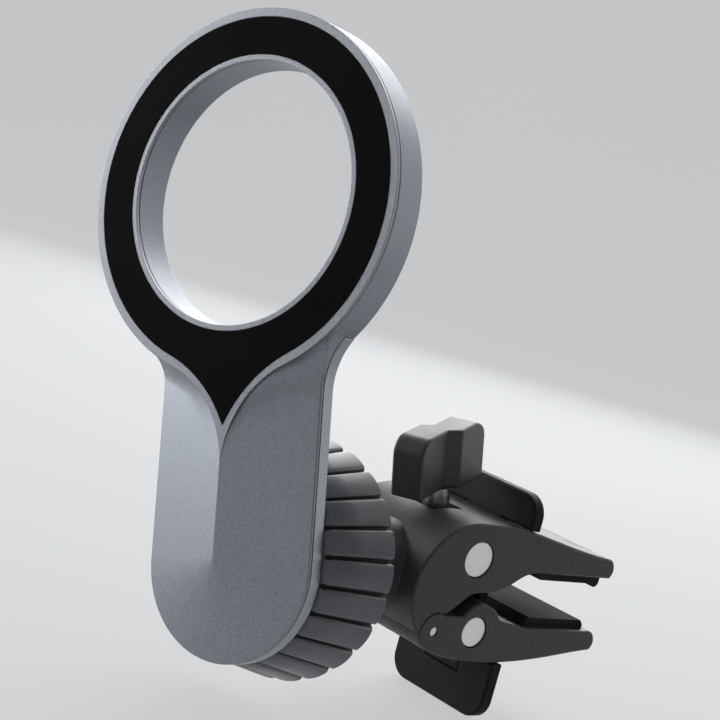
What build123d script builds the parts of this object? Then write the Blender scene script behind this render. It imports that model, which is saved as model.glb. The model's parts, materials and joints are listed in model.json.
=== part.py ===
"""Magnetic car phone mount: a ring head on a ball joint, carried by a screw-closed vent clip.

Millimetres, +Z up. The origin is the middle of the gap between the clip's jaws, where the vent
blade is gripped, and +Y points into the vent. The head is stored leaning on its ball, so its
pieces are drawn in its own frame: across, up, and depth behind the face.
"""

import os
from math import atan2, cos, pi, radians, sin, sqrt

from build123d import *

os.makedirs("parts", exist_ok=True)

# ---------------------------------------------------------------- clearances
running_gap = 0.05      # radial, between a shaft or pin and its hole
seat_gap = 0.05         # between pieces that are fixed to each other
moving_gap = 0.3        # between pieces that pass each other
screw_swing_gap = 0.35  # radial, between the clip screw and the lower barrel it lifts

# ---------------------------------------------------------------- how the head is held
ball_forward = 58.0     # from the grip forward to the ball's centre
ball_rise = 1.5         # from the grip up to the ball's centre
head_roll = 17.5        # degrees the head is rolled about +Y
head_swivel = 14.3      # degrees the head is then swung about its own upright
ball_drop = 56.8        # ball centre below the ring's centre

# ---------------------------------------------------------------- head
ring_r = 30.0
hole_r = 21.5
head_depth = 7.0        # face to back
rim_width = 1.4         # outer bezel
inner_rim_width = 0.9   # inner bezel
bezel_depth = 0.6       # height of the bezel's visible band
pad_proud = 0.1
tray_floor = 0.45       # bezel floor under the pad
wall = 1.2              # ring walls of the head shell
magnet_gap = 0.1
magnet_r_in = hole_r + wall + 0.4
magnet_r_out = ring_r - wall - 0.9
magnet_depth = 2.0
magnet_count = 18
shunt_depth = 0.5
tail_half = 15.8
lobe_drop = 58.6        # centre of the tail's round end below the ring's centre
neck_r = 12.0           # concave curve between ring and tail
facet_fall = 0.25       # depth lost per millimetre away from the ridge
cover_depth = 4.65      # where the rear cover's front face lies on the tail
bridge_half = 11.0      # half width where the rear cover runs from tail to ring
bridge_reach = 3.0
pad_tip_drop = ring_r + 7.4
bezel_tip_drop = ring_r + 13.4
pad_leave = 24.0        # degrees from straight down where the pad's edge leaves the ring
bezel_leave = 22.0

# ---------------------------------------------------------------- ball socket
ball_r = 8.5
stem_r = 4.2
liner_wall = 1.5
liner_r = ball_r + liner_wall
liner_end = 3.4         # behind the ball's centre
liner_window_r = 4.0
socket_wall = 2.4
socket_r = liner_r + socket_wall
socket_end = 4.2
socket_floor = 0.8
flange_width = 3.0
flange_r = socket_r + flange_width
flange_depth = 1.4
flange_front = -(ball_r + running_gap + seat_gap + socket_floor)
flange_back = flange_front + flange_depth
ball_depth = head_depth - flange_back   # ball centre behind the head's face
finger_slot = 1.2
finger_count = 6
finger_root = -2.0
lip_gap = 0.1
lip_r = ball_r + lip_gap
lip_depth = 0.75
finger_taper = 1.1      # how much the fingers narrow towards their ends
finger_taper_start = 0.6
floor_window_r = 3.0
socket_screw_inset = 1.6
socket_screw_circle = flange_r - socket_screw_inset
socket_screw_r = 0.8
socket_screw_head_r = 1.25
socket_screw_head_depth = 0.9
socket_screw_length = 2.5
socket_screw_spread = 40.0  # degrees between the two screws above, and the two below

# ---------------------------------------------------------------- lock nut
squeeze_wall = 1.8
squeeze_front = -0.2
squeeze_back = 4.7
squeeze_r_out = socket_r + moving_gap + squeeze_wall
nut_side = 2.5
nut_flare = 3.1
nut_cover = 1.4         # how far the nut's back reaches in over the socket
nut_clearance = 0.4     # between the socket's flange and the nut's front
nut_front = flange_back + nut_clearance
nut_back = 6.3
nut_bore_r = socket_r + moving_gap
nut_cavity_r = squeeze_r_out + moving_gap
nut_cavity_front = squeeze_front - moving_gap
nut_opening_r = socket_r - nut_cover
nut_front_r = nut_cavity_r + nut_side
nut_back_r = nut_front_r + nut_flare
nut_flutes = 23
flute_r = 1.25
flute_cut = 0.75        # how deep each flute is
nut_edge = 0.5          # chamfer at both rims
nut_wall = 1.35

# ---------------------------------------------------------------- ball stem and its screw
stem_end = 15.4         # back face of the ball's flange, behind the ball's centre
stem_flange_r = 6.6
stem_flange_depth = 2.0
washer_depth = 0.5
post_r = 8.0
post_end = 25.0         # inside the clip's drum, behind the ball's centre
stud_r = 1.5
stud_head_r = 2.75
stud_head_depth = 1.8
stud_head_seat = -1.5
stud_length = 27.0
insert_r = 2.3
insert_length = 6.0

# ---------------------------------------------------------------- vent clip, from the ball's centre
clip_half = 12.2
ear = 3.0               # thickness of the lower jaw's hinge ears
hinge_y, hinge_z = 28.8, -7.7
hinge_pin_r = 0.8
knuckle_r = 3.3
upper_y, upper_z = 34.7, 5.4
upper_barrel_r = 3.3
lower_y, lower_z = 38.3, -7.5
lower_barrel_r = 2.85
barrel_inset = 0.25     # how far the barrels' ends lie inside the jaw's sides
barrel_edge = 0.25
barrel_flat_depth = 0.3
barrel_flat = upper_barrel_r - barrel_flat_depth   # flats above and below the upper barrel's centre
drum_y = 33.5
drum_r = 11.75
jaw_tip_y = 69.5
upper_tip_z = 7.3
upper_pad_z = 3.8       # underside of the fixed finger
lower_pad_z = -6.4      # top of the moving finger
tip_round = 2.5         # how far back the moving finger's rounded tip starts
jaw_edge = 0.3
jaw_slot_gap = 1.2      # room for the plate's web as the lower jaw turns
slot_corner_r = 1.2
plate_front = 45.0
plate_depth = 2.6
plate_top = 17.2
plate_bottom = -24.0
plate_seat_top = 11.25  # top of the upper jaw where the plate's flange rests
plate_seat_bottom = -13.2
plate_corner_r = 4.0
plate_web_half = 4.5
plate_edge = 0.35
plate_lap = 4.5         # how far the web laps behind the foot
foot_screw_r = 1.0
foot_screw_head_r = 1.7
foot_screw_head_depth = 0.8
foot_screw_spread = 2.3
pad_thick = 1.6
pad_inset = 1.6
pad_half = clip_half - pad_inset
pad_start = 51.0
pad_end = 68.0
lower_pad_end = 66.9
pad_nose = 0.8          # how much the lower pad's front corner is cut back

# ---------------------------------------------------------------- clip screw and knob
screw_r = 1.5
hub_r = screw_r + 0.9
washer_r = screw_r + 1.5
screw_tail = 18.6       # from the upper barrel's centre to the screw's tip
clip_ring_r = screw_r + 1.1
clip_ring_depth = 0.5
knob_start = 9.6
knob_end = 20.1
knob_length = 18.8
knob_turn = 20.5        # degrees from straight back toward -X
wing_out = 3.9          # each wing's proud face from the knob's middle
wing_in = 2.0           # each wing's hollow face
wing_step = 0.8         # half the length of the slope between the two faces
wing_edge = 0.5
knob_corner_r = 3.2
knob_roof = 3.0         # knob above the screw's end
screw_tip_edge = 0.4
spring_wire_r = 0.35
spring_r = screw_r + spring_wire_r + 0.5
spring_turns = 5.0
screw_slot_half = washer_r + 0.7

# ---------------------------------------------------------------- frames
roll, swing = radians(head_roll), radians(head_swivel)
ball_centre = Vector(0, -ball_forward, ball_rise)
head_right = Vector(cos(swing) * cos(roll), sin(swing), cos(swing) * sin(roll))
head_back = Vector(-sin(swing) * cos(roll), cos(swing), -sin(swing) * sin(roll))
head_up = Vector(-sin(roll), 0, cos(roll))
ring_centre = ball_centre - head_back * ball_depth + head_up * ball_drop
lobe_centre = ring_centre - head_up * lobe_drop

side = Plane(origin=ball_centre, x_dir=(0, 1, 0), z_dir=(1, 0, 0))
socket_section = Plane(origin=ball_centre, x_dir=head_right, z_dir=head_up)
lobe_section = Plane(origin=lobe_centre, x_dir=head_right, z_dir=head_up)
head_axis = Axis(ball_centre, head_back)
stem_axis = Axis(ball_centre, (0, 1, 0))

screw_lean = atan2(lower_y - upper_y, upper_z - lower_z)
screw_up = Vector(0, -sin(screw_lean), cos(screw_lean))
upper_centre = ball_centre + Vector(0, upper_y, upper_z)
barrel_distance = sqrt((lower_y - upper_y) ** 2 + (upper_z - lower_z) ** 2)


def depth(distance):
    """The plane that lies this far behind the head's face, facing forward."""
    return Plane(origin=ring_centre + head_back * distance, x_dir=head_right, z_dir=-head_back)


def behind_ball(distance):
    """The plane across the head's axis, this far behind the ball's centre, facing backward."""
    return Plane(origin=ball_centre + head_back * distance, x_dir=head_right, z_dir=head_back)


def behind_stem(distance):
    """The upright plane across the stem, this far behind the ball's centre, facing backward."""
    return Plane(origin=ball_centre + Vector(0, distance, 0), x_dir=(-1, 0, 0), z_dir=(0, 1, 0))


def along_screw(distance, turn=0.0):
    """The plane across the clip screw, this far above the upper barrel's centre."""
    across = Vector(cos(radians(turn)), sin(radians(turn)) * cos(screw_lean),
                    sin(radians(turn)) * sin(screw_lean))
    return Plane(origin=upper_centre + screw_up * distance, x_dir=across, z_dir=screw_up)


screw_axis = Axis(upper_centre, screw_up)


def tip_outline(radius, tip_drop, leave):
    """A disc drawn out below into a point, each side a concave arc tangent to the disc."""
    turn = radians(leave)
    sweep = (2 * tip_drop * radius * cos(turn) - radius**2 - tip_drop**2)
    sweep = sweep / (2 * radius - 2 * tip_drop * cos(turn))
    centre_x = (radius + sweep) * sin(turn)
    centre_y = -(radius + sweep) * cos(turn)
    start = (radius * sin(turn), -radius * cos(turn))
    angle = (atan2(start[1] - centre_y, start[0] - centre_x) + atan2(-tip_drop - centre_y, -centre_x)) / 2
    middle = (centre_x + sweep * cos(angle), centre_y + sweep * sin(angle))
    with BuildLine() as edge:
        Line((0, 0), start)
        ThreePointArc(start, middle, (0, -tip_drop))
        ThreePointArc((0, -tip_drop), (-middle[0], middle[1]), (-start[0], start[1]))
        Line((-start[0], start[1]), (0, 0))
    return edge


def socket_screw_places(radius):
    """A circle at each of the four screws that hold the ball socket, two above and two below."""
    for middle in (90, 270):
        for turn in (-socket_screw_spread / 2, socket_screw_spread / 2):
            with PolarLocations(socket_screw_circle, 1, start_angle=middle + turn):
                Circle(radius)


def save(piece, name):
    piece.part.label = name
    export_step(piece.part, f"parts/{name}.step")


# ---------------------------------------------------------------- outlines of the head
with BuildSketch() as head_outline:
    Circle(ring_r)
    with Locations((0, -lobe_drop / 2)):
        Rectangle(2 * tail_half, lobe_drop)
    with Locations((0, -lobe_drop)):
        Circle(tail_half)
    corner_y = -sqrt(ring_r**2 - tail_half**2)
    fillet(head_outline.vertices().filter_by_position(Axis.Y, corner_y - 1, corner_y + 1), neck_r)

bezel_edge = tip_outline(ring_r, bezel_tip_drop, bezel_leave)
with BuildSketch() as bezel_outline:
    Circle(ring_r)
    add(bezel_edge.line)
    make_face()
pad_edge = tip_outline(ring_r - rim_width, pad_tip_drop, pad_leave)
with BuildSketch() as pad_outline:
    Circle(ring_r - rim_width)
    add(pad_edge.line)
    make_face()

with BuildSketch() as tray_outline:
    add(bezel_outline.sketch)
    offset(amount=seat_gap - wall / 2, mode=Mode.REPLACE)

bezel_floor = bezel_depth + tray_floor
shell_front = bezel_floor + seat_gap
magnet_front = shell_front + tray_floor + magnet_gap
shunt_front = magnet_front + magnet_depth + seat_gap
cover_ring_front = shunt_front + shunt_depth + seat_gap
channel_r_out = ring_r - wall
channel_r_in = hole_r + wall

# ---------------------------------------------------------------- bezel: the bright trim around the pad
with BuildPart() as face_bezel:
    with BuildSketch(depth(bezel_floor)):
        add(bezel_outline.sketch)
        offset(amount=-wall / 2, mode=Mode.REPLACE)
        Circle(hole_r + wall / 2, mode=Mode.SUBTRACT)
    extrude(amount=tray_floor)
    with BuildSketch(depth(bezel_depth)):
        add(bezel_outline.sketch)
        Circle(hole_r, mode=Mode.SUBTRACT)
    extrude(amount=bezel_depth)
    with BuildSketch(depth(bezel_depth)):
        add(pad_outline.sketch)
        Circle(hole_r + inner_rim_width, mode=Mode.SUBTRACT)
    extrude(amount=bezel_depth, mode=Mode.SUBTRACT)
save(face_bezel, "face_bezel")

# ---------------------------------------------------------------- silicone face pad
with BuildPart() as face_pad:
    with BuildSketch(depth(bezel_depth - seat_gap / 2)):
        add(pad_outline.sketch)
        offset(amount=-seat_gap, mode=Mode.REPLACE)
        Circle(hole_r + inner_rim_width + seat_gap, mode=Mode.SUBTRACT)
    extrude(amount=bezel_depth - seat_gap / 2 + pad_proud)
save(face_pad, "face_pad")

# ---------------------------------------------------------------- waste in front of the tail's facets
waste_half = ring_r
with BuildPart() as facet_waste:
    with BuildSketch(lobe_section):
        with BuildLine():
            Polyline((0, 0), (waste_half, waste_half * facet_fall), (waste_half, -1),
                     (-waste_half, -1), (-waste_half, waste_half * facet_fall), close=True)
        make_face()
    extrude(amount=lobe_drop - ring_r / 3)
    with BuildSketch(lobe_section):
        with BuildLine():
            Polyline((0, 0), (waste_half, waste_half * facet_fall), (waste_half, -1), (0, -1), close=True)
        make_face()
    revolve(axis=Axis(lobe_centre, head_back), revolution_arc=180)
    with BuildSketch(depth(head_depth)):
        add(bezel_outline.sketch)
        offset(amount=seat_gap, mode=Mode.REPLACE)
    extrude(amount=2 * head_depth, mode=Mode.SUBTRACT)

# ---------------------------------------------------------------- head shell: ring walls and tail facets
with BuildPart() as head_shell:
    with BuildSketch(depth(cover_depth - seat_gap)):
        add(head_outline.sketch)
    extrude(amount=cover_depth - seat_gap)
    add(facet_waste.part, mode=Mode.SUBTRACT)
    with BuildSketch(depth(shell_front)):
        add(bezel_outline.sketch)
        offset(amount=seat_gap, mode=Mode.REPLACE)
    extrude(amount=head_depth, mode=Mode.SUBTRACT)
    with BuildSketch(depth(shell_front)):
        add(bezel_outline.sketch)
        add(tray_outline.sketch, mode=Mode.SUBTRACT)
        Circle(hole_r + wall / 2 - seat_gap)
    extrude(amount=tray_floor)
    with BuildSketch(depth(head_depth)):
        Circle(ring_r)
    extrude(amount=head_depth - shell_front)
    with BuildSketch(depth(head_depth)):
        Circle(channel_r_out)
        Circle(channel_r_in, mode=Mode.SUBTRACT)
    extrude(amount=head_depth - magnet_front + magnet_gap, mode=Mode.SUBTRACT)
    with BuildSketch(depth(head_depth)):
        with Locations((0, -ring_r + bridge_reach)):
            Rectangle(2 * bridge_half, 2 * (bridge_reach + rim_width))
    extrude(amount=head_depth - cover_depth + seat_gap, mode=Mode.SUBTRACT)
    with BuildSketch(depth(head_depth)):
        Circle(hole_r)
    extrude(amount=head_depth, mode=Mode.SUBTRACT)
    with BuildSketch(behind_ball(flange_back - socket_screw_head_depth - socket_screw_length - seat_gap)):
        socket_screw_places(socket_screw_r + seat_gap)
    extrude(amount=socket_screw_length, mode=Mode.SUBTRACT)
save(head_shell, "head_shell")

# ---------------------------------------------------------------- magnets and their steel backing
with BuildPart() as magnets:
    with BuildSketch(depth(magnet_front + magnet_depth)):
        Circle(magnet_r_out)
        Circle(magnet_r_in, mode=Mode.SUBTRACT)
        with PolarLocations((magnet_r_in + magnet_r_out) / 2, magnet_count):
            Rectangle(magnet_r_out, 2 * magnet_gap, mode=Mode.SUBTRACT)
    extrude(amount=magnet_depth)
save(magnets, "magnets")

with BuildPart() as shunt_ring:
    with BuildSketch(depth(shunt_front + shunt_depth)):
        Circle(magnet_r_out)
        Circle(magnet_r_in, mode=Mode.SUBTRACT)
    extrude(amount=shunt_depth)
save(shunt_ring, "shunt_ring")

# ---------------------------------------------------------------- rear cover
with BuildPart() as rear_cover:
    with BuildSketch(depth(head_depth)):
        add(head_outline.sketch)
        Circle(ring_r + seat_gap, mode=Mode.SUBTRACT)
        with Locations((0, -ring_r + bridge_reach)):
            Rectangle(2 * (bridge_half - seat_gap), 2 * bridge_reach + rim_width)
    extrude(amount=head_depth - cover_depth)
    with BuildSketch(depth(head_depth)):
        Circle(channel_r_out - seat_gap)
        Circle(channel_r_in + seat_gap, mode=Mode.SUBTRACT)
    extrude(amount=head_depth - cover_ring_front)
    with BuildSketch(behind_ball(flange_front)):
        Circle(flange_r + seat_gap)
    extrude(amount=flange_depth + 1, mode=Mode.SUBTRACT)
    with BuildSketch(behind_ball(flange_front)):
        socket_screw_places(socket_screw_r + seat_gap)
    extrude(amount=-head_depth, mode=Mode.SUBTRACT)
save(rear_cover, "rear_cover")

# ---------------------------------------------------------------- collet socket and its screws
with BuildPart() as collet_socket:
    with BuildSketch(socket_section):
        with BuildLine():
            Polyline(
                (floor_window_r, flange_front),
                (flange_r, flange_front),
                (flange_r, flange_back),
                (socket_r, flange_back),
                (socket_r, finger_taper_start),
                (socket_r - finger_taper, socket_end),
                (lip_r, socket_end),
                (lip_r, socket_end - lip_depth),
                (liner_r + running_gap, socket_end - lip_depth),
                (liner_r + running_gap, flange_front + socket_floor),
                (floor_window_r, flange_front + socket_floor),
                close=True,
            )
        make_face()
    revolve(axis=head_axis)
    with BuildSketch(behind_ball(finger_root)):
        with PolarLocations((lip_r + socket_r) / 2, finger_count):
            Rectangle(socket_r - lip_r + 1, finger_slot)
    extrude(amount=socket_end - finger_root + 1, mode=Mode.SUBTRACT)
    with BuildSketch(behind_ball(flange_front)):
        socket_screw_places(socket_screw_r + seat_gap)
    extrude(amount=flange_depth, mode=Mode.SUBTRACT)
    with BuildSketch(behind_ball(flange_back)):
        socket_screw_places(socket_screw_head_r + seat_gap)
    extrude(amount=-socket_screw_head_depth, mode=Mode.SUBTRACT)
save(collet_socket, "collet_socket")

with BuildPart() as socket_screws:
    with BuildSketch(behind_ball(flange_back - socket_screw_head_depth)):
        socket_screw_places(socket_screw_head_r)
    extrude(amount=socket_screw_head_depth - seat_gap)
    with BuildSketch(behind_ball(flange_back - socket_screw_head_depth)):
        socket_screw_places(socket_screw_r)
    extrude(amount=-socket_screw_length)
    with BuildSketch(behind_ball(flange_back - socket_screw_head_depth / 2)):
        for middle in (90, 270):
            for turn in (-socket_screw_spread / 2, socket_screw_spread / 2):
                with PolarLocations(socket_screw_circle, 1, start_angle=middle + turn):
                    RegularPolygon(socket_screw_head_r / 2, 6)
    extrude(amount=socket_screw_head_depth, mode=Mode.SUBTRACT)
save(socket_screws, "socket_screws")

# ---------------------------------------------------------------- friction liner around the ball
with BuildPart() as friction_liner:
    liner_front = flange_front + socket_floor + seat_gap
    with BuildSketch(behind_ball(liner_front)):
        Circle(liner_r)
    extrude(amount=liner_end - liner_front)
    with Locations(ball_centre):
        Sphere(ball_r + running_gap, mode=Mode.SUBTRACT)
    with BuildSketch(behind_ball(liner_front)):
        Circle(liner_window_r)
    extrude(amount=ball_r, mode=Mode.SUBTRACT)
save(friction_liner, "friction_liner")

# ---------------------------------------------------------------- squeeze ring and lock nut
with BuildPart() as squeeze_ring:
    finger_end_r = socket_r - finger_taper + moving_gap
    with BuildSketch(socket_section):
        with BuildLine():
            Polyline(
                (socket_r + moving_gap, squeeze_front),
                (squeeze_r_out, squeeze_front),
                (squeeze_r_out, squeeze_back),
                (finger_end_r, squeeze_back),
                (finger_end_r, socket_end),
                (socket_r + moving_gap, finger_taper_start),
                close=True,
            )
        make_face()
    revolve(axis=head_axis)
save(squeeze_ring, "squeeze_ring")

with BuildPart() as lock_nut:
    with BuildSketch(socket_section):
        with BuildLine():
            Polyline(
                (nut_bore_r, nut_front),
                (nut_front_r, nut_front),
                (nut_back_r, nut_back),
                (nut_opening_r, nut_back),
                (nut_opening_r, nut_back - nut_wall),
                (nut_cavity_r, nut_back - nut_wall),
                (nut_cavity_r, nut_cavity_front),
                (nut_bore_r, nut_cavity_front),
                close=True,
            )
        make_face()
    revolve(axis=head_axis)
    chamfer(lock_nut.edges().filter_by(GeomType.CIRCLE).sort_by(lambda e: -e.radius)[0], nut_edge)
    chamfer(lock_nut.edges().filter_by(GeomType.CIRCLE).sort_by(lambda e: abs(e.radius - nut_front_r))[0], nut_edge)
    flute_lean = atan2(nut_back_r - nut_front_r, nut_back - nut_front)
    flute_start = nut_front_r + flute_r - flute_cut
    for number in range(nut_flutes):
        turn = 2 * pi * number / nut_flutes
        outward = head_right * cos(turn) + head_up * sin(turn)
        along = head_back * cos(flute_lean) + outward * sin(flute_lean)
        foot = ball_centre + head_back * nut_front + outward * flute_start
        with BuildSketch(Plane(origin=foot - along * 2, x_dir=outward, z_dir=along)):
            Circle(flute_r)
        extrude(amount=nut_back - nut_front + 5, mode=Mode.SUBTRACT)
save(lock_nut, "lock_nut")

# ---------------------------------------------------------------- ball, and the screw it turns on
with BuildPart() as ball:
    with Locations(ball_centre):
        Sphere(ball_r)
    with BuildSketch(behind_stem(0)):
        Circle(stem_r)
    extrude(amount=stem_end)
    with BuildSketch(behind_stem(stem_end - stem_flange_depth)):
        Circle(stem_flange_r)
    extrude(amount=stem_flange_depth)
    with BuildSketch(behind_stem(-ball_r)):
        Circle(stud_r + running_gap)
    extrude(amount=ball_r + stem_end, mode=Mode.SUBTRACT)
    with BuildSketch(behind_stem(-ball_r)):
        Circle(stud_head_r + 2 * running_gap)
    extrude(amount=ball_r + stud_head_seat, mode=Mode.SUBTRACT)
save(ball, "ball")

with BuildPart() as ball_screw:
    with BuildSketch(behind_stem(stud_head_seat - stud_head_depth - running_gap)):
        Circle(stud_head_r)
    extrude(amount=stud_head_depth)
    with BuildSketch(behind_stem(stud_head_seat - running_gap)):
        Circle(stud_r)
    extrude(amount=stud_length)
    with BuildSketch(behind_stem(stud_head_seat - stud_head_depth - running_gap)):
        RegularPolygon(stud_head_r / 2, 6)
    extrude(amount=stud_head_depth / 2, mode=Mode.SUBTRACT)
save(ball_screw, "ball_screw")

with BuildPart() as friction_washer:
    with BuildSketch(behind_stem(stem_end + running_gap)):
        Circle(stem_flange_r)
        Circle(stud_r + seat_gap, mode=Mode.SUBTRACT)
    extrude(amount=washer_depth)
save(friction_washer, "friction_washer")

stud_end = stud_head_seat - running_gap + stud_length
post_front = stem_end + running_gap + washer_depth
with BuildPart() as screw_insert:
    with BuildSketch(behind_stem(stud_end - insert_length)):
        Circle(insert_r)
        Circle(stud_r + seat_gap, mode=Mode.SUBTRACT)
    extrude(amount=insert_length)
save(screw_insert, "screw_insert")

# ---------------------------------------------------------------- vent clip: shared outlines
drum_low = radians(42)
drum_end = (drum_y - drum_r * cos(drum_low), -drum_r * sin(drum_low))
lug_half = clip_half - ear - moving_gap / 2
knuckle_turn = radians(-125)
knuckle_low = (hinge_y + knuckle_r * cos(knuckle_turn), hinge_z + knuckle_r * sin(knuckle_turn))
knuckle_high = (hinge_y + knuckle_r / 2, hinge_z + knuckle_r * sin(radians(60)))


def barrel_hole(y, z, radius):
    """Bores right across the clip at this place in its side view."""
    with BuildSketch(side) as hole:
        with Locations((y, z)):
            Circle(radius)
    extrude(hole.sketch, amount=clip_half + 1, both=True, mode=Mode.SUBTRACT)


def screw_slot(above, length):
    """Clears the swinging screw and its spring, centred this far up the screw."""
    with BuildSketch(along_screw(above - length / 2)) as slot:
        RectangleRounded(2 * screw_slot_half, 2 * screw_slot_half - 2 * moving_gap, slot_corner_r)
    extrude(slot.sketch, amount=length, mode=Mode.SUBTRACT)


# ---------------------------------------------------------------- upper jaw: drum, post and fixed finger
with BuildPart() as upper_jaw:
    with BuildSketch(side):
        with BuildLine():
            ThreePointArc((drum_y, drum_r), (drum_y - drum_r, 0), drum_end)
            Line(drum_end, (31.6, -3.8))
            Line((31.6, -3.8), (34.6, -1.3))
            Spline((34.6, -1.3), (39.6, -0.25), (44.5, 1.6), (pad_start, upper_pad_z), tangents=[(1, 1), (1, 0)])
            Line((pad_start, upper_pad_z), (jaw_tip_y - 0.6, upper_pad_z))
            ThreePointArc((jaw_tip_y - 0.6, upper_pad_z), (jaw_tip_y, 5.6), (jaw_tip_y - 1.2, upper_tip_z))
            Spline((jaw_tip_y - 1.2, upper_tip_z), (55.0, 9.4), (46.5, 11.0), (drum_y, drum_r),
                   tangents=[(-1, 0.12), (-1, 0)])
        make_face()
    extrude(amount=clip_half, both=True)
    chamfer(upper_jaw.faces().filter_by(Axis.X).edges(), jaw_edge)
    with BuildSketch(behind_stem(post_front)):
        Circle(post_r)
    extrude(amount=post_end - post_front)
    with BuildSketch(side):
        with Locations((hinge_y, hinge_z)):
            Circle(knuckle_r)
    extrude(amount=lug_half, both=True)
    for across in (-clip_half, clip_half - ear - moving_gap / 2):
        with BuildSketch(side.offset(across)):
            with Locations((hinge_y, hinge_z)):
                Circle(knuckle_r + moving_gap)
        extrude(amount=ear + moving_gap / 2, mode=Mode.SUBTRACT)
    barrel_hole(hinge_y, hinge_z, hinge_pin_r + seat_gap)
    barrel_hole(upper_y, upper_z, upper_barrel_r + running_gap)
    screw_slot(0, 2 * drum_r + 8)
    with BuildSketch(behind_stem(post_front)):
        Circle(insert_r + seat_gap)
    extrude(amount=stud_end - post_front + seat_gap, mode=Mode.SUBTRACT)
    with BuildSketch(behind_stem(plate_front - seat_gap)):
        Rectangle(2 * (plate_web_half + seat_gap), 2 * plate_top)
    extrude(amount=plate_depth + 2 * seat_gap, mode=Mode.SUBTRACT)
save(upper_jaw, "upper_jaw")

with BuildPart() as upper_jaw_pad:
    with BuildSketch(side):
        with BuildLine():
            Line((pad_start, upper_pad_z), (pad_start + pad_thick, upper_pad_z - pad_thick))
            Line((pad_start + pad_thick, upper_pad_z - pad_thick), (pad_end - 2, upper_pad_z - pad_thick))
            ThreePointArc((pad_end - 2, upper_pad_z - pad_thick), (pad_end - 0.6, upper_pad_z - pad_thick - 0.5),
                          (pad_end, upper_pad_z - pad_thick + 0.5))
            Line((pad_end, upper_pad_z - pad_thick + 0.5), (pad_end, upper_pad_z))
            Line((pad_end, upper_pad_z), (pad_start, upper_pad_z))
        make_face()
    extrude(amount=pad_half, both=True)
save(upper_jaw_pad, "upper_jaw_pad")

# ---------------------------------------------------------------- lower jaw: two hinge ears and the moving finger
with BuildPart() as lower_jaw:
    with BuildSketch(side):
        with BuildLine():
            Line(knuckle_high, (34.6, -4.8))
            Spline((34.6, -4.8), (38.0, -2.4), (42.5, -3.6), (pad_start, lower_pad_z), tangents=[(1, 1), (1, -0.15)])
            Line((pad_start, lower_pad_z), (jaw_tip_y - tip_round, lower_pad_z))
            ThreePointArc((jaw_tip_y - tip_round, lower_pad_z), (jaw_tip_y, lower_pad_z - 1.6), (jaw_tip_y - 0.6, -9.9))
            Spline((jaw_tip_y - 0.6, -9.9), (58.0, -11.6), (45.0, -12.9), (36.0, -12.6), knuckle_low,
                   tangents=[(-1, -0.12), (sin(knuckle_turn), -cos(knuckle_turn))])
            ThreePointArc(knuckle_low, (hinge_y - knuckle_r, hinge_z), knuckle_high)
        make_face()
    extrude(amount=clip_half, both=True)
    chamfer(lower_jaw.faces().filter_by(Axis.X).edges(), jaw_edge)
    with BuildSketch(side):
        with Locations((hinge_y, hinge_z)):
            Circle(knuckle_r + moving_gap)
        with Locations((hinge_y - knuckle_r, hinge_z - knuckle_r)):
            Rectangle(2 * knuckle_r, 4 * knuckle_r)
    extrude(amount=clip_half - ear, both=True, mode=Mode.SUBTRACT)
    barrel_hole(hinge_y, hinge_z, hinge_pin_r + running_gap)
    barrel_hole(lower_y, lower_z, lower_barrel_r + running_gap)
    screw_slot(-barrel_distance, 2 * drum_r)
    with BuildSketch(behind_stem(plate_front - jaw_slot_gap)):
        with Locations((0, lower_z)):
            Rectangle(2 * (plate_web_half + moving_gap), 2 * drum_r)
    extrude(amount=plate_depth + 2 * jaw_slot_gap, mode=Mode.SUBTRACT)
save(lower_jaw, "lower_jaw")

with BuildPart() as lower_jaw_pad:
    with BuildSketch(side):
        with BuildLine():
            Polyline((pad_start, lower_pad_z), (pad_start + pad_thick, lower_pad_z + pad_thick),
                     (lower_pad_end - pad_nose, lower_pad_z + pad_thick),
                     (lower_pad_end, lower_pad_z + pad_thick - pad_nose),
                     (lower_pad_end, lower_pad_z), close=True)
        make_face()
    extrude(amount=pad_half, both=True)
save(lower_jaw_pad, "lower_jaw_pad")

with BuildPart() as hinge_pin:
    with BuildSketch(side):
        with Locations((hinge_y, hinge_z)):
            Circle(hinge_pin_r)
    extrude(amount=clip_half - barrel_inset, both=True)
save(hinge_pin, "hinge_pin")

# ---------------------------------------------------------------- stop plate, its foot and their screws
web_low = plate_seat_bottom - plate_lap
web_joint = plate_front + plate_depth / 2
foot_screw_z = plate_seat_bottom - plate_lap / 2
with BuildPart() as stop_plate:
    with BuildSketch(behind_stem(plate_front)) as flange:
        with Locations((0, (plate_seat_top + plate_top) / 2)):
            Rectangle(2 * clip_half, plate_top - plate_seat_top)
        fillet(flange.vertices().group_by(Axis.Y)[-1], plate_corner_r)
        with Locations((0, (plate_seat_top + web_low) / 2)):
            Rectangle(2 * plate_web_half, plate_seat_top - web_low)
    extrude(amount=plate_depth)
    chamfer(stop_plate.faces().filter_by(Axis.Y).edges(), plate_edge)
    with BuildSketch(behind_stem(web_joint)):
        with Locations((0, web_low)):
            Rectangle(2 * clip_half, 2 * (plate_lap + moving_gap))
    extrude(amount=plate_depth, mode=Mode.SUBTRACT)
    with BuildSketch(behind_stem(plate_front)):
        with Locations((-foot_screw_spread, foot_screw_z), (foot_screw_spread, foot_screw_z)):
            Circle(foot_screw_r + seat_gap)
    extrude(amount=plate_depth, mode=Mode.SUBTRACT)
save(stop_plate, "stop_plate")

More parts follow.
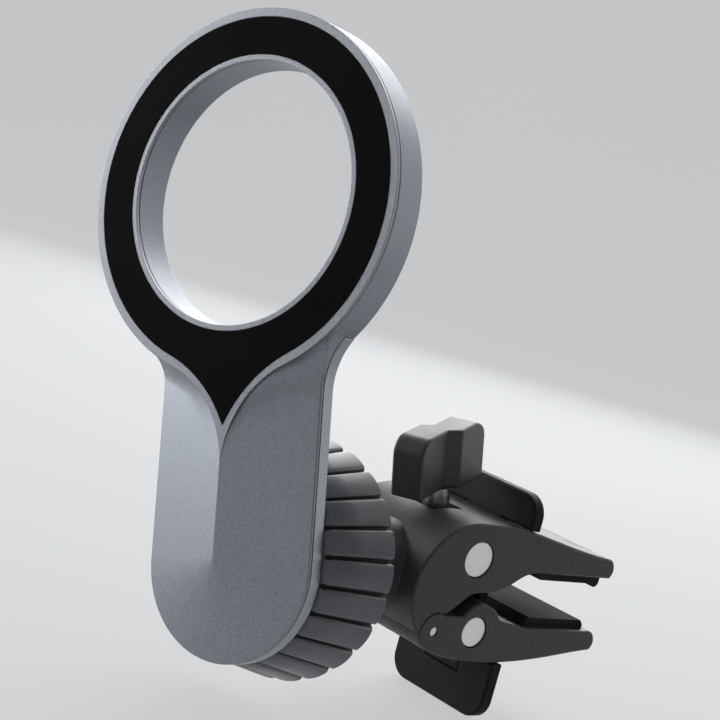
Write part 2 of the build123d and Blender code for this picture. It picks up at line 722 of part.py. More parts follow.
with BuildPart() as stop_foot:
    with BuildSketch(behind_stem(plate_front)) as foot:
        with Locations((0, (plate_seat_bottom + plate_bottom) / 2)):
            Rectangle(2 * clip_half, plate_seat_bottom - plate_bottom)
        fillet(foot.vertices().group_by(Axis.Y)[0], plate_corner_r)
    extrude(amount=plate_depth)
    chamfer(stop_foot.faces().filter_by(Axis.Y).edges(), plate_edge)
    with BuildSketch(behind_stem(plate_front)):
        with Locations((0, web_low + plate_lap)):
            Rectangle(2 * (plate_web_half + seat_gap), 2 * (plate_lap + seat_gap))
    extrude(amount=plate_depth / 2 + seat_gap, mode=Mode.SUBTRACT)
    with BuildSketch(behind_stem(plate_front)):
        with Locations((-foot_screw_spread, foot_screw_z), (foot_screw_spread, foot_screw_z)):
            Circle(foot_screw_r + seat_gap)
    extrude(amount=plate_depth, mode=Mode.SUBTRACT)
    with BuildSketch(behind_stem(plate_front + plate_depth)):
        with Locations((-foot_screw_spread, foot_screw_z), (foot_screw_spread, foot_screw_z)):
            Circle(foot_screw_head_r + seat_gap)
    extrude(amount=-foot_screw_head_depth - seat_gap, mode=Mode.SUBTRACT)
save(stop_foot, "stop_foot")

with BuildPart() as foot_screws:
    with BuildSketch(behind_stem(plate_front + plate_depth - seat_gap)):
        with Locations((-foot_screw_spread, foot_screw_z), (foot_screw_spread, foot_screw_z)):
            Circle(foot_screw_head_r)
    extrude(amount=-foot_screw_head_depth)
    with BuildSketch(behind_stem(plate_front + seat_gap)):
        with Locations((-foot_screw_spread, foot_screw_z), (foot_screw_spread, foot_screw_z)):
            Circle(foot_screw_r)
    extrude(amount=plate_depth - foot_screw_head_depth)
    with BuildSketch(behind_stem(plate_front + plate_depth)):
        with Locations((-foot_screw_spread, foot_screw_z), (foot_screw_spread, foot_screw_z)):
            RegularPolygon(foot_screw_head_r / 2, 6)
    extrude(amount=-foot_screw_head_depth / 2, mode=Mode.SUBTRACT)
save(foot_screws, "foot_screws")

# ---------------------------------------------------------------- barrels that the clip screw pulls together
with BuildPart() as upper_barrel:
    with BuildSketch(side):
        with Locations((upper_y, upper_z)):
            Circle(upper_barrel_r)
    extrude(amount=clip_half - barrel_inset, both=True)
    chamfer(upper_barrel.faces().filter_by(Axis.X).edges(), barrel_edge)
    with BuildSketch(along_screw(-upper_barrel_r)):
        Circle(screw_r + running_gap)
    extrude(amount=2 * upper_barrel_r, mode=Mode.SUBTRACT)
    for start in (barrel_flat, -barrel_flat - upper_barrel_r):
        with BuildSketch(along_screw(start)):
            Circle(washer_r + moving_gap)
        extrude(amount=upper_barrel_r, mode=Mode.SUBTRACT)
save(upper_barrel, "upper_barrel")

with BuildPart() as lower_barrel:
    with BuildSketch(side):
        with Locations((lower_y, lower_z)):
            Circle(lower_barrel_r)
    extrude(amount=clip_half - barrel_inset, both=True)
    chamfer(lower_barrel.faces().filter_by(Axis.X).edges(), barrel_edge)
    with BuildSketch(along_screw(-barrel_distance - lower_barrel_r)):
        Circle(screw_r + screw_swing_gap)
    extrude(amount=2 * lower_barrel_r, mode=Mode.SUBTRACT)
    with BuildSketch(along_screw(-barrel_distance + lower_barrel_r - barrel_flat_depth)):
        Circle(washer_r)
    extrude(amount=lower_barrel_r, mode=Mode.SUBTRACT)
save(lower_barrel, "lower_barrel")

with BuildPart() as thrust_washer:
    with BuildSketch(along_screw(barrel_flat)):
        Circle(washer_r)
        Circle(screw_r + running_gap, mode=Mode.SUBTRACT)
    extrude(amount=washer_depth - running_gap)
save(thrust_washer, "thrust_washer")

spring_low = -barrel_distance + lower_barrel_r - barrel_flat_depth + spring_wire_r
spring_high = -barrel_flat - clip_ring_depth - running_gap - spring_wire_r
spring_span = spring_high - spring_low - 2 * running_gap
with BuildPart() as opening_spring:
    with BuildLine(along_screw(spring_low + running_gap)):
        coil = Helix(spring_span / spring_turns, spring_span, spring_r, direction=screw_up)
    with BuildSketch(Plane(origin=coil @ 0, z_dir=coil % 0)):
        Circle(spring_wire_r)
    sweep(is_frenet=True)
save(opening_spring, "opening_spring")

# ---------------------------------------------------------------- clip screw, its snap ring and the wing knob
with BuildPart() as clip_screw:
    with BuildSketch(along_screw(-screw_tail)):
        Circle(screw_r)
    extrude(amount=screw_tail + knob_end - knob_roof)
    with BuildSketch(along_screw(barrel_flat + washer_depth)):
        Circle(hub_r)
    extrude(amount=knob_start - barrel_flat - washer_depth)
    chamfer(clip_screw.faces().sort_by(Axis(upper_centre, screw_up))[0].edges(), screw_tip_edge)
save(clip_screw, "clip_screw")

with BuildPart() as snap_ring:
    with BuildSketch(along_screw(-barrel_flat - running_gap)):
        Circle(clip_ring_r)
        Circle(screw_r, mode=Mode.SUBTRACT)
        with Locations((0, -clip_ring_r)):
            Rectangle(screw_r, clip_ring_r, mode=Mode.SUBTRACT)
    extrude(amount=-clip_ring_depth)
save(snap_ring, "snap_ring")

with BuildPart() as wing_knob:
    half = knob_length / 2
    with BuildSketch(along_screw(knob_start, knob_turn)):
        with BuildLine():
            Polyline(
                (wing_out, half),
                (wing_out, wing_step),
                (wing_in, -wing_step),
                (wing_in, -half),
                (-wing_out, -half),
                (-wing_out, -wing_step),
                (-wing_in, wing_step),
                (-wing_in, half),
                close=True,
            )
        make_face()
    extrude(amount=knob_end - knob_start)
    top_ends = wing_knob.faces().sort_by(screw_axis)[-1].edges().filter_by(
        lambda e: abs(e.length - wing_in - wing_out) < wing_edge)
    fillet(top_ends, knob_corner_r)
    fillet(wing_knob.edges(), wing_edge)
    with BuildSketch(along_screw(knob_start)):
        Circle(screw_r)
    extrude(amount=knob_end - knob_start - knob_roof, mode=Mode.SUBTRACT)
save(wing_knob, "wing_knob")
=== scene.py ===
"""Looks for the magnetic car phone mount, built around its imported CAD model."""

import json
import math

import bmesh
import bpy
from mathutils import Matrix, Vector


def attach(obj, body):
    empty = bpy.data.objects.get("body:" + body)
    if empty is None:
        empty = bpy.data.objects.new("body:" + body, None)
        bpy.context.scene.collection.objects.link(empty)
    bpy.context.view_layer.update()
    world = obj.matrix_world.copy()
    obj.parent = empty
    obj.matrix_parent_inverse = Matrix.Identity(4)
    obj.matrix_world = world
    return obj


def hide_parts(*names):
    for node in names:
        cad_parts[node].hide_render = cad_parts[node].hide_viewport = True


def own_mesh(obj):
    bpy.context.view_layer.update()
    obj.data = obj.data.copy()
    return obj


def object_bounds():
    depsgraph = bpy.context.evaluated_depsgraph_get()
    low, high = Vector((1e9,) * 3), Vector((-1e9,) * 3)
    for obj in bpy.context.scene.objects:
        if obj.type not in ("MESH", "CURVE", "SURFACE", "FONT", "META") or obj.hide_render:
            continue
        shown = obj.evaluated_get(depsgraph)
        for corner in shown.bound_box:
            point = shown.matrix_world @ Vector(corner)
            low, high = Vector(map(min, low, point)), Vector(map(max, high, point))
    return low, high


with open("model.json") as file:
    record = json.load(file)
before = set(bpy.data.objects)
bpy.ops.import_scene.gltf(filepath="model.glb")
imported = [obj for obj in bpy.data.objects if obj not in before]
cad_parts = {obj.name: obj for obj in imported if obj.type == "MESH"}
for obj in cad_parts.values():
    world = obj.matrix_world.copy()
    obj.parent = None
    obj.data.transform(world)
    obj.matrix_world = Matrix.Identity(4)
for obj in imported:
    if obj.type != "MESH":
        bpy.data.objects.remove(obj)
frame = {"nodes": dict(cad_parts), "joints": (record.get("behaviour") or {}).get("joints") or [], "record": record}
cad_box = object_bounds()

MM = 0.001

# ---------------------------------------------------------------- the head's own frame
joints = {j["name"]: j for j in frame["joints"]}
BALL = Vector(joints["ball_spin"]["pos_m"])
UP = Vector(joints["ball_tilt"]["axis"]).normalized()
BACK = Vector(joints["head_spin"]["axis"]).normalized()
RIGHT = BACK.cross(UP)
BALL_DEPTH = 15.0       # ball centre behind the head's face
BALL_DROP = 56.8        # ball centre below the ring's centre
RING = BALL - BACK * BALL_DEPTH * MM + UP * BALL_DROP * MM


def head_point(across, up, depth):
    """A point of the head, in millimetres from the ring's centre on its face, in the row frame."""
    return RING + (RIGHT * across + UP * up + BACK * depth) * MM


# ---------------------------------------------------------------- node helpers
def new_material(name, base, roughness, metallic=0.0):
    material = bpy.data.materials.new(name)
    material.use_nodes = True
    shader = material.node_tree.nodes["Principled BSDF"]
    shader.inputs["Base Color"].default_value = (*base, 1)
    shader.inputs["Roughness"].default_value = roughness
    shader.inputs["Metallic"].default_value = metallic
    return material, shader


def node(material, kind, **values):
    made = material.node_tree.nodes.new(kind)
    for key, value in values.items():
        if key in made.inputs:
            made.inputs[key].default_value = value
        else:
            setattr(made, key, value)
    return made


def link(material, source, target):
    material.node_tree.links.new(source, target)


def coordinates(material):
    return node(material, "ShaderNodeTexCoord").outputs["Object"]


def noise(material, scale, detail=2.0, where=None, rough=0.5):
    made = node(material, "ShaderNodeTexNoise", Scale=scale, Detail=detail, Roughness=rough)
    link(material, where or coordinates(material), made.inputs["Vector"])
    return made.outputs["Fac"]


def ramp(material, source, stops):
    made = node(material, "ShaderNodeValToRGB")
    elements = made.color_ramp.elements
    while len(elements) < len(stops):
        elements.new(0.5)
    for element, (place, colour) in zip(elements, stops):
        element.position = place
        element.color = (*colour, 1) if len(colour) == 3 else colour
    link(material, source, made.inputs["Fac"])
    return made.outputs["Color"]


def grey_ramp(material, source, low, high, start=0.3, end=0.7):
    return ramp(material, source, [(start, (low,) * 3), (end, (high,) * 3)])


def mix(material, factor, first, second, kind="MIX"):
    made = node(material, "ShaderNodeMix", data_type="RGBA", blend_type=kind)
    for place, value in ((0, factor), (6, first), (7, second)):
        if isinstance(value, (int, float)):
            made.inputs[place].default_value = value
        elif isinstance(value, tuple):
            made.inputs[place].default_value = (*value, 1)
        else:
            link(material, value, made.inputs[place])
    return made.outputs[2]


def bump(material, shader, height, strength, distance, edge=0.0):
    """Bump from a height, over normals that are rounded at the edges by this radius."""
    made = node(material, "ShaderNodeBump", Strength=strength, Distance=distance)
    link(material, height, made.inputs["Height"])
    if edge:
        bevel = node(material, "ShaderNodeBevel", samples=4, Radius=edge)
        link(material, bevel.outputs["Normal"], made.inputs["Normal"])
    link(material, made.outputs["Normal"], shader.inputs["Normal"])


def edge_mask(material, radius, low=0.03, high=0.2):
    """White along the shape's edges, where its rounded normals differ from its true ones."""
    bevel = node(material, "ShaderNodeBevel", samples=8, Radius=radius)
    geometry = node(material, "ShaderNodeNewGeometry")
    agree = node(material, "ShaderNodeVectorMath", operation="DOT_PRODUCT")
    link(material, bevel.outputs["Normal"], agree.inputs[0])
    link(material, geometry.outputs["Normal"], agree.inputs[1])
    return ramp(material, agree.outputs["Value"], [(1 - high, (1, 1, 1)), (1 - low, (0, 0, 0))])


# ---------------------------------------------------------------- materials
def blasted_metal(name, base, roughness=0.42, metallic=0.75, grain=0.06):
    """Bead-blasted, anodised metal: fine bright and dark grains over a slow mottle."""
    material, shader = new_material(name, base, roughness, metallic)
    fine = noise(material, 5200, 2)
    grains = noise(material, 2300, 3)
    mottle = noise(material, 90, 3)
    dark = tuple(c * (1 - 2.2 * grain) for c in base)
    light = tuple(min(1, c * (1 + 2.2 * grain)) for c in base)
    speckle = mix(material, ramp(material, grains, [(0.35, (0, 0, 0)), (0.65, (1, 1, 1))]), dark, light)
    cloudy = mix(material, 0.06, speckle, ramp(material, mottle, [(0.3, dark), (0.7, light)]))
    link(material, cloudy, shader.inputs["Base Color"])
    link(material, grey_ramp(material, grains, roughness - 0.07, roughness + 0.08), shader.inputs["Roughness"])
    bump(material, shader, fine, 0.18, 0.00005, 0.0002)
    return material


def moulded_plastic(name, base, roughness=0.5, texture=0.2, scale=2600, edge=0.00025, edge_highlight_gain=0.0, gloss=0.3):
    """Moulded plastic with a fine spark-eroded texture, and optionally a painted highlight (a lighter copy of its
    colour) along its edges.
    """
    material, shader = new_material(name, base, roughness)
    shader.inputs["Specular IOR Level"].default_value = gloss
    pits = noise(material, scale, 4)
    patches = noise(material, 160, 3)
    dark = tuple(c * 0.78 for c in base)
    light = tuple(min(1, c * 1.28) for c in base)
    tone = mix(material, ramp(material, pits, [(0.3, (0, 0, 0)), (0.7, (1, 1, 1))]), dark, light)
    tone = mix(material, 0.2, tone, ramp(material, patches, [(0.3, dark), (0.7, light)]))
    # Painted highlight: along the edges the colour is mixed towards the base times this gain, standing in for
    # light catching the rounded edges.
    if edge_highlight_gain:
        bright = tuple(min(1, c * edge_highlight_gain) for c in base)
        tone = mix(material, edge_mask(material, edge), tone, bright)
    link(material, tone, shader.inputs["Base Color"])
    link(material, grey_ramp(material, patches, roughness - 0.06, roughness + 0.06), shader.inputs["Roughness"])
    bump(material, shader, pits, texture, 0.00005, edge)
    return material


def silicone(name, base):
    """Matt black silicone with a very fine grain."""
    material, shader = new_material(name, base, 0.7)
    shader.inputs["Specular IOR Level"].default_value = 0.03
    grain = noise(material, 3800, 3)
    slow = noise(material, 60, 2)
    tone = ramp(material, slow, [(0.3, tuple(c * 0.8 for c in base)), (0.7, tuple(c * 1.25 for c in base))])
    link(material, tone, shader.inputs["Base Color"])
    link(material, grey_ramp(material, grain, 0.64, 0.78), shader.inputs["Roughness"])
    bump(material, shader, grain, 0.12, 0.00003)
    return material


def turned_metal(name, base, roughness=0.3, axis="X", edge=0.0001):
    """Machined metal with fine rings round the axis and a few specks."""
    material, shader = new_material(name, base, roughness, 1.0)
    place = coordinates(material)
    rings = node(material, "ShaderNodeTexWave", wave_type="RINGS", rings_direction=axis, Scale=900, Distortion=1.5)
    link(material, place, rings.inputs["Vector"])
    specks = noise(material, 1500, 4, place)
    dark = tuple(c * 0.86 for c in base)
    link(material, mix(material, grey_ramp(material, specks, 0, 1, 0.25, 0.6), dark, base),
         shader.inputs["Base Color"])
    link(material, grey_ramp(material, specks, roughness - 0.05, roughness + 0.12), shader.inputs["Roughness"])
    bump(material, shader, specks, 0.15, 0.00004, edge)
    return material


finishes = {
    "head": blasted_metal("blasted_grey", (0.235, 0.252, 0.278), 0.46),
    "bezel": blasted_metal("bezel_grey", (0.215, 0.226, 0.246), 0.42, 0.8, 0.05),
    "cover": blasted_metal("cover_grey", (0.3, 0.316, 0.34), 0.45, 0.72),
    "pad": silicone("pad_black", (0.002, 0.002, 0.0021)),
    "jaw_pad": silicone("jaw_pad_black", (0.022, 0.022, 0.023)),
    # The nut, clip, plate and knob get that painted edge highlight, by the gain given after their edge radius.
    "nut": moulded_plastic("nut_grey", (0.085, 0.09, 0.098), 0.34, 0.1, 3200, 0.0003, 2.0, 0.4),
    # Painted shade: a near-black copy of the nut's grey plastic, given to the floors of its grooves.
    "nut_groove_shade": moulded_plastic("nut_groove_shade", (0.012, 0.012, 0.013), 0.5, 0.1, 3200),
    "clip": moulded_plastic("clip_grey", (0.042, 0.042, 0.044), 0.5, 0.25, 2600, 0.0003, 3.0),
    "plate": moulded_plastic("plate_black", (0.006, 0.006, 0.0065), 0.6, 0.2, 2600, 0.0004, 6.0, 0.12),
    "knob": moulded_plastic("knob_grey", (0.038, 0.038, 0.040), 0.4, 0.15, 2600, 0.0005, 3.5),
    "foot_screws": moulded_plastic("screw_black", (0.015, 0.015, 0.016), 0.35, 0.1),
    "socket": moulded_plastic("socket_black", (0.02, 0.02, 0.021), 0.42, 0.1),
    "ball": moulded_plastic("ball_black", (0.016, 0.016, 0.017), 0.3, 0.05),
    "liner": moulded_plastic("liner_nylon", (0.5, 0.48, 0.43), 0.45, 0.1),
    "barrel": turned_metal("barrel_bright", (0.80, 0.80, 0.79), 0.42),
    "pin": turned_metal("pin_bright", (0.72, 0.72, 0.73), 0.3),
    "screw_steel": turned_metal("screw_steel", (0.5, 0.5, 0.52), 0.28, "Z"),
    "screws": turned_metal("screw_zinc", (0.42, 0.43, 0.45), 0.35, "Y"),
    "magnets": turned_metal("magnet_nickel", (0.6, 0.6, 0.62), 0.25, "Y"),
    "shunt": turned_metal("shunt_steel", (0.45, 0.45, 0.45), 0.4, "Y"),
    "insert": turned_metal("insert_brass", (0.7, 0.5, 0.2), 0.3, "Y"),
    "washer": silicone("washer_black", (0.02, 0.02, 0.02)),
}

for row in frame["record"]["subparts"]:
    slot = row["material_slot"]
    if row["node"].endswith("jaw_pad"):
        slot = "jaw_pad"
    elif row["node"] == "foot_screws":
        slot = "foot_screws"
    data = frame["nodes"][row["node"]].data
    data.materials.clear()
    data.materials.append(finishes[slot])


# ---------------------------------------------------------------- head shell as one smooth skin
RING_R = 30.0
HOLE_R = 21.5
HEAD_DEPTH = 7.0
TAIL_HALF = 15.8
LOBE_DROP = 58.6
NECK_R = 12.0
FACET_FALL = 0.25
COVER_DEPTH = 4.65
TIP_DROP = 43.4
TIP_LEAVE = math.radians(22)
WALL_TOP = 0.66         # behind the bezel's band, which leaves a fine line
GROOVE = 0.3            # width of the groove in front of the rear cover
BLEND = 3.4             # reach of the hollow curve from the ring's wall into the facets
EDGE = 0.3              # rounding of the facets' outer edge
LIP = 0.5               # how far the facets reach in under the bezel


def arc(centre, radius, start, end, count):
    return [(centre[0] + radius * math.cos(start + (end - start) * k / count),
             centre[1] + radius * math.sin(start + (end - start) * k / count)) for k in range(count + 1)]


def along(points, share):
    """The point this share of the way along a line of points."""
    lengths = [math.dist(a, b) for a, b in zip(points, points[1:])]
    left = share * sum(lengths)
    for (a, b), length in zip(zip(points, points[1:]), lengths):
        if left <= length:
            step = left / length
            return (a[0] + (b[0] - a[0]) * step, a[1] + (b[1] - a[1]) * step)
        left -= length
    return points[-1]


def tail_curves():
    """The right-hand edge of the bezel and of the tail, both from the neck down to the middle line."""
    neck_x = TAIL_HALF + NECK_R
    neck_y = -math.sqrt((RING_R + NECK_R) ** 2 - neck_x**2)
    neck_turn = math.atan2(neck_y, neck_x)
    sweep = 2 * TIP_DROP * RING_R * math.cos(TIP_LEAVE) - RING_R**2 - TIP_DROP**2
    sweep /= 2 * RING_R - 2 * TIP_DROP * math.cos(TIP_LEAVE)
    centre = ((RING_R + sweep) * math.sin(TIP_LEAVE), -(RING_R + sweep) * math.cos(TIP_LEAVE))
    first = math.atan2(math.cos(TIP_LEAVE), -math.sin(TIP_LEAVE))
    last = math.atan2(-TIP_DROP - centre[1], -centre[0]) % (2 * math.pi)
    inner = arc((0, 0), RING_R, neck_turn, TIP_LEAVE - math.pi / 2, 40)
    inner += arc(centre, sweep, first, last, 80)[1:]
    outer = arc((neck_x, neck_y), NECK_R, neck_turn + math.pi, math.pi, 40)
    outer += [(TAIL_HALF, neck_y + (-LOBE_DROP - neck_y) * k / 40) for k in range(1, 41)]
    outer += arc((0, -LOBE_DROP), TAIL_HALF, 0, -math.pi / 2, 60)[1:]
    return inner, outer


def line_distance(x, y, points):
    """How far a point is from a line of points."""
    nearest = math.inf
    for (ax, ay), (bx, by) in zip(points, points[1:]):
        dx, dy = bx - ax, by - ay
        share = min(1, max(0, ((x - ax) * dx + (y - ay) * dy) / (dx * dx + dy * dy)))
        nearest = min(nearest, math.hypot(x - ax - share * dx, y - ay - share * dy))
    return nearest


def facet_depth(x, y, inner):
    reach = math.hypot(x, y + LOBE_DROP) if y < -LOBE_DROP else abs(x)
    depth = min(FACET_FALL * reach, COVER_DEPTH - GROOVE)
    top = min(WALL_TOP, depth)
    away = line_distance(x, y, inner)
    if away >= BLEND:
        return depth
    hollow = 1 - math.sqrt(1 - (1 - away / BLEND) ** 2)
    return depth - (depth - top) * hollow


def tail_row(inner, inner_point, outer_point, outward):
    """One closed section of the tail, from the bezel's edge over the facet, the side and the back."""
    count = 34
    inset = min(EDGE, 0.4 * math.dist(inner_point, outer_point))
    rim = (outer_point[0] - outward[0] * inset, outer_point[1] - outward[1] * inset)
    lip = min(LIP, 0.5 * inner_point[0])
    row = [(inner_point[0] - lip, inner_point[1], facet_depth(*inner_point, inner))]
    for k in range(count + 1):
        share = (k / count) ** 1.7
        x = inner_point[0] + (rim[0] - inner_point[0]) * share
        y = inner_point[1] + (rim[1] - inner_point[1]) * share
        row.append((x, y, facet_depth(x, y, inner)))
    groove_depth = COVER_DEPTH - GROOVE
    edge_depth = row[-1][2]
    drop = min(EDGE, groove_depth - edge_depth + 0.02)
    for k in (1, 2, 3):
        turn = math.pi / 2 * k / 3
        row.append((rim[0] + outward[0] * inset * math.sin(turn), rim[1] + outward[1] * inset * math.sin(turn),
                    edge_depth + drop * (1 - math.cos(turn))))
    back = (rim[0] - outward[0] * inset, rim[1] - outward[1] * inset)
    row.append((*outer_point, groove_depth + 0.03))
    row.append((*back, groove_depth + 0.03))
    row.append((*back, COVER_DEPTH - 0.03))
    row.append((inner_point[0] - lip, inner_point[1], COVER_DEPTH - 0.03))
    return row


def tail_rows():
    inner, outer = tail_curves()
    fine = [along(inner, k / 60) for k in range(61)]
    shares = [(0.97 * k / 64, 0.28 * k / 64) for k in range(65)]
    shares += [(0.97 + 0.03 * k / 72, 0.28 + 0.72 * k / 72) for k in range(1, 73)]
    rows = []
    for inner_share, outer_share in shares:
        before, after = along(outer, max(0, outer_share - 0.004)), along(outer, min(1, outer_share + 0.004))
        tangent = Vector((after[0] - before[0], after[1] - before[1])).normalized()
        outward = (-tangent.y, tangent.x) if outer_share < 1 else (0, -1)
        rows.append(tail_row(fine, along(inner, inner_share), along(outer, outer_share), outward))
    return rows


def lathe(profile, count=256):
    """A closed ring about the head's ring axis, from (radius, depth) pairs."""
    rows = []
    for number in range(count):
        turn = 2 * math.pi * number / count
        rows.append([(radius * math.cos(turn), radius * math.sin(turn), depth) for radius, depth in profile])
    return rows


def add_rows(bm, rows, closed=False):
    grid = [[bm.verts.new(head_point(x, y, depth)) for x, y, depth in row] for row in rows]
    pairs = list(zip(grid, grid[1:])) + ([(grid[-1], grid[0])] if closed else [])
    for first, second in pairs:
        size = len(first)
        for k in range(size):
            bm.faces.new((first[k], first[(k + 1) % size], second[(k + 1) % size], second[k]))
    if not closed:
        bm.faces.new(grid[0])
        bm.faces.new(grid[-1])


def make_object(name, bm, finish, body, angle=24, merge=1e-7):
    bmesh.ops.remove_doubles(bm, verts=bm.verts, dist=merge)
    bmesh.ops.dissolve_degenerate(bm, dist=merge, edges=bm.edges)
    bmesh.ops.recalc_face_normals(bm, faces=bm.faces)
    mesh = bpy.data.meshes.new(name)
    bm.to_mesh(mesh)
    bm.free()
    mesh.materials.append(finishes[finish])
    mesh.set_sharp_from_angle(angle=math.radians(angle))
    made = bpy.data.objects.new(name, mesh)
    bpy.context.scene.collection.objects.link(made)
    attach(made, body)
    return made


def make_head_skin():
    bm = bmesh.new()
    right = tail_rows()
    left = [[(-x, y, depth) for x, y, depth in row] for row in reversed(right[:-1])]
    add_rows(bm, right + left)
    outer_wall = [(29.5, 0.78), (29.88, 0.78), (29.97, 0.82), (30.0, 0.9), (30.0, 6.82), (29.95, 6.95),
                  (29.82, 7.0), (29.5, 7.0), (28.8, 7.0), (28.8, 1.15), (29.5, 1.15)]
    inner_wall = [(22.05, 0.8), (21.62, 0.8), (21.53, 0.84), (21.5, 0.92), (21.5, 6.82), (21.55, 6.95),
                  (21.68, 7.0), (22.0, 7.0), (22.7, 7.0), (22.7, 1.15), (22.05, 1.15)]
    for profile in (outer_wall, inner_wall):
        add_rows(bm, lathe(profile), closed=True)
    skin = make_object("head_skin", bm, "head", "head", 20)
    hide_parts("head_shell")
    return skin


make_head_skin()


# ---------------------------------------------------------------- lock nut with its ribs
NUT_FRONT, NUT_BACK = -7.6, 6.3             # in front of and behind the ball's centre
NUT_FRONT_R, NUT_BACK_R = 17.3, 20.4
NUT_BORE_R, NUT_CAVITY_R, NUT_OPENING_R = 12.7, 14.8, 11.0
NUT_CAVITY_FRONT, NUT_WALL = -0.5, 1.35
RIBS = 23
RIB_STEPS = 12          # points from a groove's middle to a rib's middle
GROOVE_SHARE = 0.24     # of half the pitch
GROOVE_CUT = 0.7
RIB_CROWN = 0.28        # how far a rib's flanks lie below its middle
RIM = 0.55              # chamfers of the nut's two rims


def rib_cut(share):
    """How far the nut's side is cut, from a groove's middle at 0 to a rib's middle at 1."""
    cut = RIB_CROWN * (1 - share) ** 2
    if share < GROOVE_SHARE:
        cut += GROOVE_CUT * 0.5 * (1 + math.cos(math.pi * share / GROOVE_SHARE))
    return cut


def nut_section(turn, share):
    cut = rib_cut(share)
    lean = (NUT_BACK_R - NUT_FRONT_R) / (NUT_BACK - NUT_FRONT)
    side = [(NUT_FRONT_R + lean * (z - NUT_FRONT) - cut, z)
            for z in (NUT_FRONT + RIM, 0.5 * (NUT_FRONT + NUT_BACK), NUT_BACK - RIM)]
    profile = [(NUT_BORE_R, NUT_FRONT), (NUT_FRONT_R - RIM - cut, NUT_FRONT), *side,
               (NUT_BACK_R - RIM - cut, NUT_BACK), (NUT_OPENING_R, NUT_BACK),
               (NUT_OPENING_R, NUT_BACK - NUT_WALL), (NUT_CAVITY_R, NUT_BACK - NUT_WALL),
               (NUT_CAVITY_R, NUT_CAVITY_FRONT), (NUT_BORE_R, NUT_CAVITY_FRONT)]
    return [(r * math.cos(turn), r * math.sin(turn) - BALL_DROP, BALL_DEPTH + z) for r, z in profile]


def make_nut():
    half = math.pi / RIBS
    shares = [(k / RIB_STEPS) ** 1.5 for k in range(RIB_STEPS + 1)]
    steps = [-share for share in reversed(shares[1:])] + shares[:-1]
    rows = [nut_section(2 * half * rib + half * step, abs(step)) for rib in range(RIBS) for step in steps]
    bm = bmesh.new()
    add_rows(bm, rows, closed=True)
    nut = make_object("ribbed_nut", bm, "nut", "nut", 40)
    # Faces deep in the grooves take this second, near-black finish: painted shade in the hollows.
    nut.data.materials.append(finishes["nut_groove_shade"])
    floor_r = GROOVE_CUT * 0.45 + RIB_CROWN
    centre = head_point(0, -BALL_DROP, BALL_DEPTH)
    lean = (NUT_BACK_R - NUT_FRONT_R) / (NUT_BACK - NUT_FRONT)
    for face in nut.data.polygons:
        offset = (face.center - centre) / MM
        z = offset.dot(BACK)
        r = (offset - BACK * z).length
        full = NUT_FRONT_R + lean * (z - NUT_FRONT)
        if NUT_FRONT + 0.1 < z < NUT_BACK - 0.1 and full - 1.3 < r < full - floor_r:
            face.material_index = 1
    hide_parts("lock_nut")
    return nut


make_nut()


# ---------------------------------------------------------------- opening spring, built as a fixed coil; the real one shortens as the jaws close
SPRING_TURNS = 6.0
CLOSED_TURNS = 0.9      # at each end, lying flat


def spring_rise(turn):
    """How far up its length the coil is after this many turns, from 0 to 1: flat turns, open turns, flat turns."""
    open_turns = SPRING_TURNS - 2 * CLOSED_TURNS
    share = min(1, max(0, (turn - CLOSED_TURNS) / open_turns))
    flat = 0.12 * (min(turn, CLOSED_TURNS) + max(0, turn - SPRING_TURNS + CLOSED_TURNS)) / CLOSED_TURNS
    return flat + 0.76 * share


def make_spring():
    knob = joints["knob_turn"]
    pivot, axis = Vector(knob["pos_m"]), -Vector(knob["axis"]).normalized()
    side = axis.orthogonal().normalized()
    offsets = [vertex.co - pivot for vertex in frame["nodes"]["opening_spring"].data.vertices]
    heights = [offset.dot(axis) for offset in offsets]
    radii = [(offset - axis * height).length for offset, height in zip(offsets, heights)]
    wire, coil = (max(radii) - min(radii)) / 2, (max(radii) + min(radii)) / 2
    low, high = min(heights) + wire, max(heights) - wire
    bm = bmesh.new()
    rings = []
    steps, around = 36 * int(SPRING_TURNS), 14
    for step in range(steps + 1):
        turn = SPRING_TURNS * step / steps
        outward = side * math.cos(2 * math.pi * turn) + axis.cross(side) * math.sin(2 * math.pi * turn)
        middle = pivot + axis * (low + (high - low) * spring_rise(turn)) + outward * coil
        angles = [2 * math.pi * k / around for k in range(around)]
        rings.append([bm.verts.new(middle + (outward * math.cos(a) + axis * math.sin(a)) * wire) for a in angles])
    for first, second in zip(rings, rings[1:]):
        for k in range(around):
            bm.faces.new((first[k], first[(k + 1) % around], second[(k + 1) % around], second[k]))
    bm.faces.new(rings[0])
    bm.faces.new(rings[-1])
    spring = make_object("coil_spring", bm, "pin", "upper_barrel", 50)
    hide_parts("opening_spring")
    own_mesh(spring)
    return spring


make_spring()


# ---------------------------------------------------------------- camera
LENS = 91.3
CAMERA_PLACE = (178.6, -223.4, -59.8)       # right, back and up of the ring's centre
CAMERA_RIGHT = (0.827, 0.558, 0.065)
CAMERA_UP = (0.013, -0.135, 0.991)


def head_direction(parts):
    return RIGHT * parts[0] + BACK * parts[1] + UP * parts[2]


def make_camera():
    data = bpy.data.cameras.new("camera")
    data.lens = LENS
    data.sensor_width = 36
    data.clip_start = 0.01
    camera = bpy.data.objects.new("camera", data)
    bpy.context.scene.collection.objects.link(camera)
    right = head_direction(CAMERA_RIGHT).normalized()
    up = head_direction(CAMERA_UP)
    up = (up - right * up.dot(right)).normalized()
    turn = Matrix((right, up, right.cross(up))).transposed()
    camera.matrix_world = Matrix.Translation(RING + head_direction(CAMERA_PLACE) * MM) @ turn.to_4x4()
    bpy.context.scene.camera = camera
    return camera


camera = make_camera()


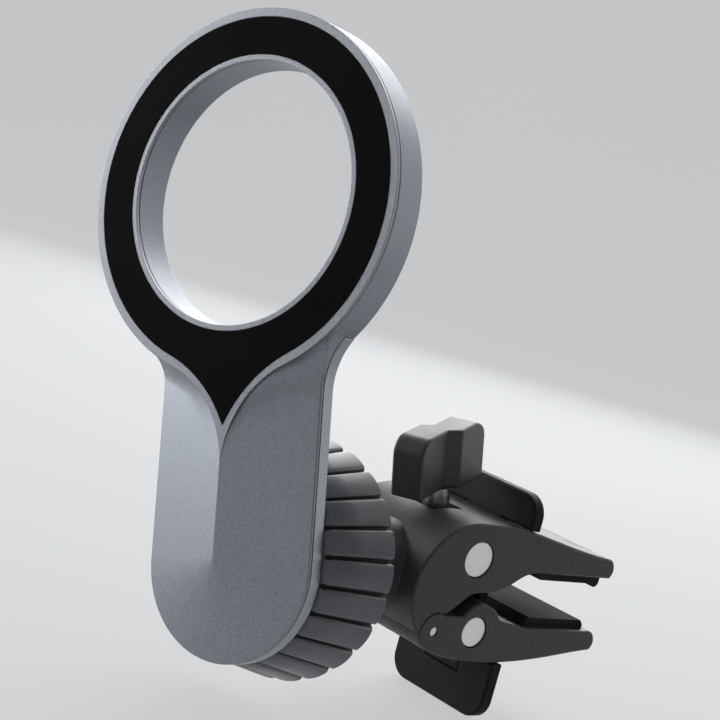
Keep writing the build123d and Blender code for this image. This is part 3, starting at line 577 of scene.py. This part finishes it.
# ---------------------------------------------------------------- floor, light and world
def make_floor(low, gap=0.0002, reach=4.0, radius=0.5, half_width=5.0, segments=24):
    """A pale floor under the lowest point, curving up far behind the object."""
    z = low.z - gap
    profile = [(-reach, z), (0.6, z)]
    for step in range(segments + 1):
        turn = math.pi / 2 * step / segments
        profile.append((0.6 + radius * math.sin(turn), z + radius * (1 - math.cos(turn))))
    profile.append((0.6 + radius, z + 4.0))
    points, faces = [], []
    for depth, height in profile:
        points += [(-half_width, depth, height), (half_width, depth, height)]
    for number in range(len(profile) - 1):
        faces.append((2 * number, 2 * number + 1, 2 * number + 3, 2 * number + 2))
    mesh = bpy.data.meshes.new("floor")
    mesh.from_pydata(points, [], faces)
    mesh.shade_smooth()
    floor = bpy.data.objects.new("floor", mesh)
    bpy.context.scene.collection.objects.link(floor)
    floor.rotation_euler = (0, 0, math.radians(45))
    material, shader = new_material("floor_pale", (0.08, 0.082, 0.084), 0.9)
    shader.inputs["Emission Color"].default_value = (0.9, 0.92, 0.94, 1)
    shader.inputs["Emission Strength"].default_value = 0.56
    tone = noise(material, 6, 2)
    link(material, ramp(material, tone, [(0.3, (0.078, 0.08, 0.082)), (0.7, (0.084, 0.086, 0.088))]),
         shader.inputs["Base Color"])
    mesh.materials.append(material)
    return floor


def soft_light(name, toward, distance, size, radiance):
    """A rectangle of light of this brightness, this way from the object's middle in the head's own axes."""
    data = bpy.data.lights.new(name, "AREA")
    data.shape = "RECTANGLE"
    data.size, data.size_y = size
    data.energy = radiance * math.pi * size[0] * size[1]
    light = bpy.data.objects.new(name, data)
    bpy.context.scene.collection.objects.link(light)
    direction = head_direction(toward).normalized()
    light.location = (cad_box[0] + cad_box[1]) / 2 + direction * distance
    light.rotation_euler = direction.to_track_quat("Z", "Y").to_euler()
    return light


make_floor(cad_box[0])
soft_light("key", (-0.94, -0.34, 0.12), 0.5, (0.42, 0.8), 6.2)
soft_light("rim", (-0.25, 0.75, 0.6), 0.55, (0.55, 0.5), 4.2)
soft_light("side", (0.6, 0.8, 0.2), 0.7, (0.4, 0.6), 0.8)
soft_light("front", (-0.16, -0.98, 0.1), 0.7, (0.3, 0.7), 0.45)
soft_light("top", (0.1, -0.1, 1.0), 0.7, (0.5, 0.5), 1.0)

world = bpy.data.worlds.new("studio")
world.use_nodes = True
world.node_tree.nodes["Background"].inputs["Color"].default_value = (0.86, 0.88, 0.9, 1)
world.node_tree.nodes["Background"].inputs["Strength"].default_value = 0.27
bpy.context.scene.world = world
bpy.context.scene.view_settings.view_transform = "Standard"
